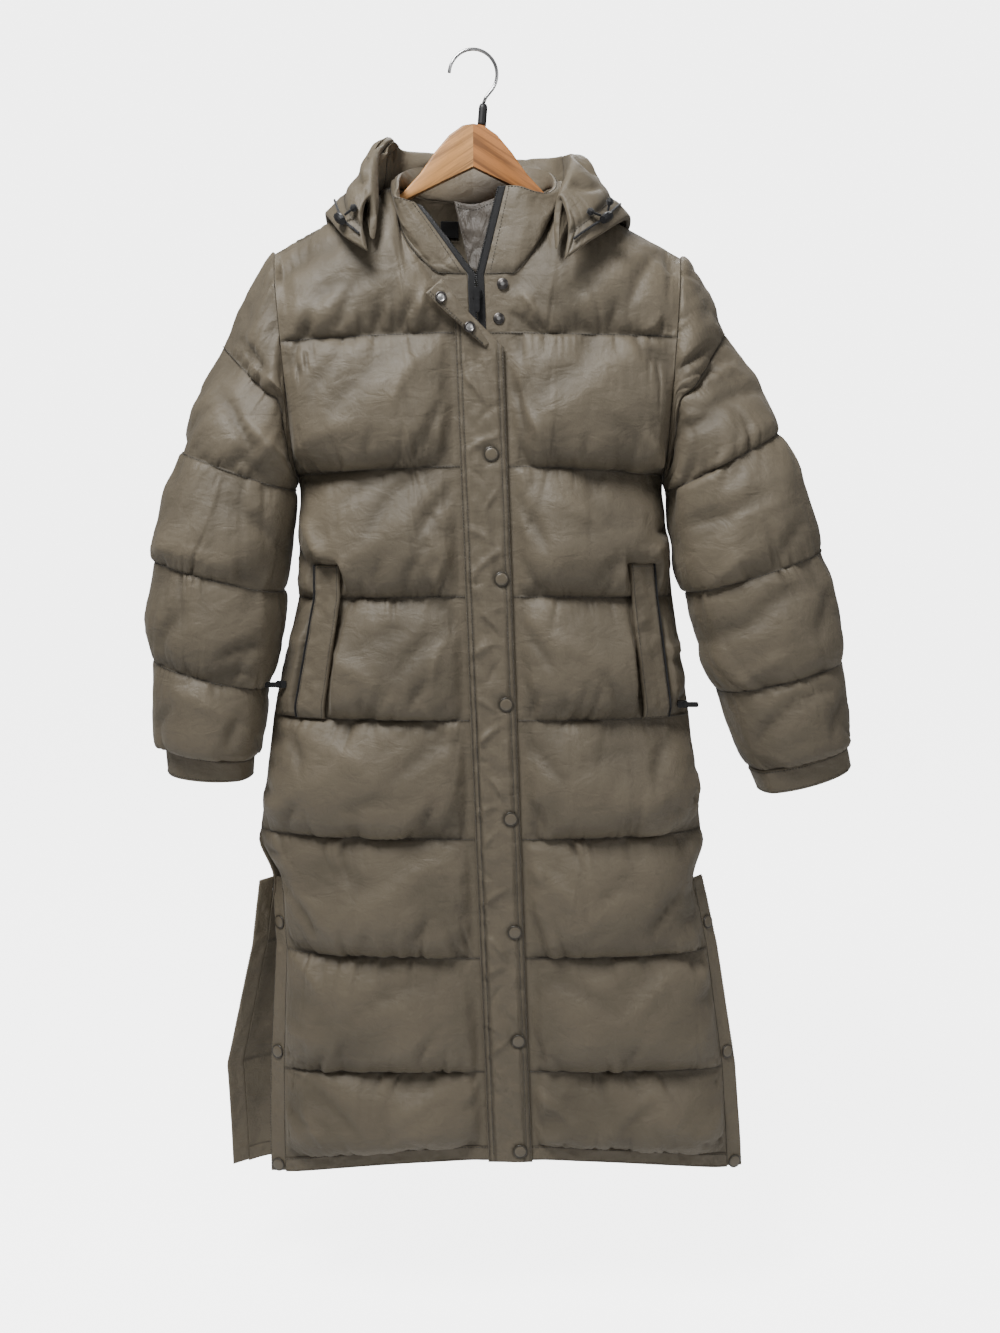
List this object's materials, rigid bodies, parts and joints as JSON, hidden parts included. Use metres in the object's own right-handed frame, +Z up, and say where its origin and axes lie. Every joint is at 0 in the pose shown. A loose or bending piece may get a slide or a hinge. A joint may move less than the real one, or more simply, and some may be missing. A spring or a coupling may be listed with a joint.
{
  "type": "coat",
  "caption": "Long quilted hooded puffer coat, zipped with a covering flap, hanging on a wooden hanger with a wire hook.",
  "frame": {"origin": "inside top of the hook's bend, where a rail carries the hanger", "axes": "+Z up, -Y out of the coat's front, +X to the wearer's left"},
  "size_m": [0.8067, 0.2262, 1.3059],
  "materials": {
    "shell": "semi-matte woven nylon",
    "lining": "plain woven, slightly wrinkled",
    "zip_tape": "woven tape",
    "label": "bare woven label",
    "cord": "round elastic cord",
    "black_trim": "satin black",
    "hook_sleeve": "satin black sleeve",
    "snap_metal": "worn chrome with dark rim",
    "wood": "clear satin lacquer",
    "hook": "polished"
  },
  "bodies": {
    "coat": {"back": "shell", "collar": "shell", "cord_end_left_1": "cord", "cord_end_left_2": "cord", "cord_end_right_1": "cord", "cord_lock_left": "black_trim", "cord_lock_right": "black_trim", "cuff_left": "shell", "cuff_right": "shell", "front_left": "shell", "front_right": "shell", "hanger_arm_left": "wood", "hanger_arm_right": "wood", "hem_back": "shell", "hem_front_left": "shell", "hem_front_right": "shell", "hood": "shell", "hood_cord_left": "cord", "hood_cord_right": "cord", "hook": "hook", "hook_sleeve": "hook_sleeve", "neck_label": "label", "placket": "shell", "placket_corner": "shell", "placket_snap_1": "shell", "placket_snap_2": "shell", "placket_snap_3": "shell", "placket_snap_4": "shell", "placket_snap_5": "shell", "placket_snap_6": "shell", "placket_snap_7": "shell", "pocket_slider_left": "black_trim", "pocket_slider_right": "black_trim", "pocket_welt_left": "shell", "pocket_welt_right": "shell", "sleeve_left": "shell", "sleeve_right": "shell", "slit_band_back_left": "shell", "slit_band_back_right": "shell", "slit_band_front_left": "shell", "slit_band_front_right": "shell", "slit_snap_left_1": "shell", "slit_snap_left_2": "shell", "slit_snap_left_3": "shell", "slit_snap_right_1": "shell", "slit_snap_right_2": "shell", "slit_snap_right_3": "shell", "snap_socket_1": "snap_metal", "snap_socket_2": "snap_metal", "snap_stud_1": "snap_metal", "snap_stud_2": "snap_metal", "zip_guard": "lining", "zip_slider": "black_trim", "zip_tape_left": "zip_tape", "zip_tape_right": "zip_tape"},
    "front_pull": {"zip_pull": "black_trim"},
    "pocket_pull_right": {"pocket_pull_right": "black_trim"},
    "pocket_pull_left": {"pocket_pull_left": "black_trim"}
  },
  "joints": [
    {"name": "front_pull_hinge", "type": "hinge", "parent": "coat", "child": "front_pull", "pos_m": [0.0046, -0.0668, -0.258], "axis": [-1, 0, 0], "range_deg": [0, 150]},
    {"name": "pocket_pull_right_hinge", "type": "hinge", "parent": "coat", "child": "pocket_pull_right", "pos_m": [-0.22263, -0.03416, -0.68775], "axis": [0, 1, 0], "range_deg": [-80, 60]},
    {"name": "pocket_pull_left_hinge", "type": "hinge", "parent": "coat", "child": "pocket_pull_left", "pos_m": [0.24086, -0.03056, -0.7112], "axis": [0, -1, 0], "range_deg": [-80, 60]}
  ]
}
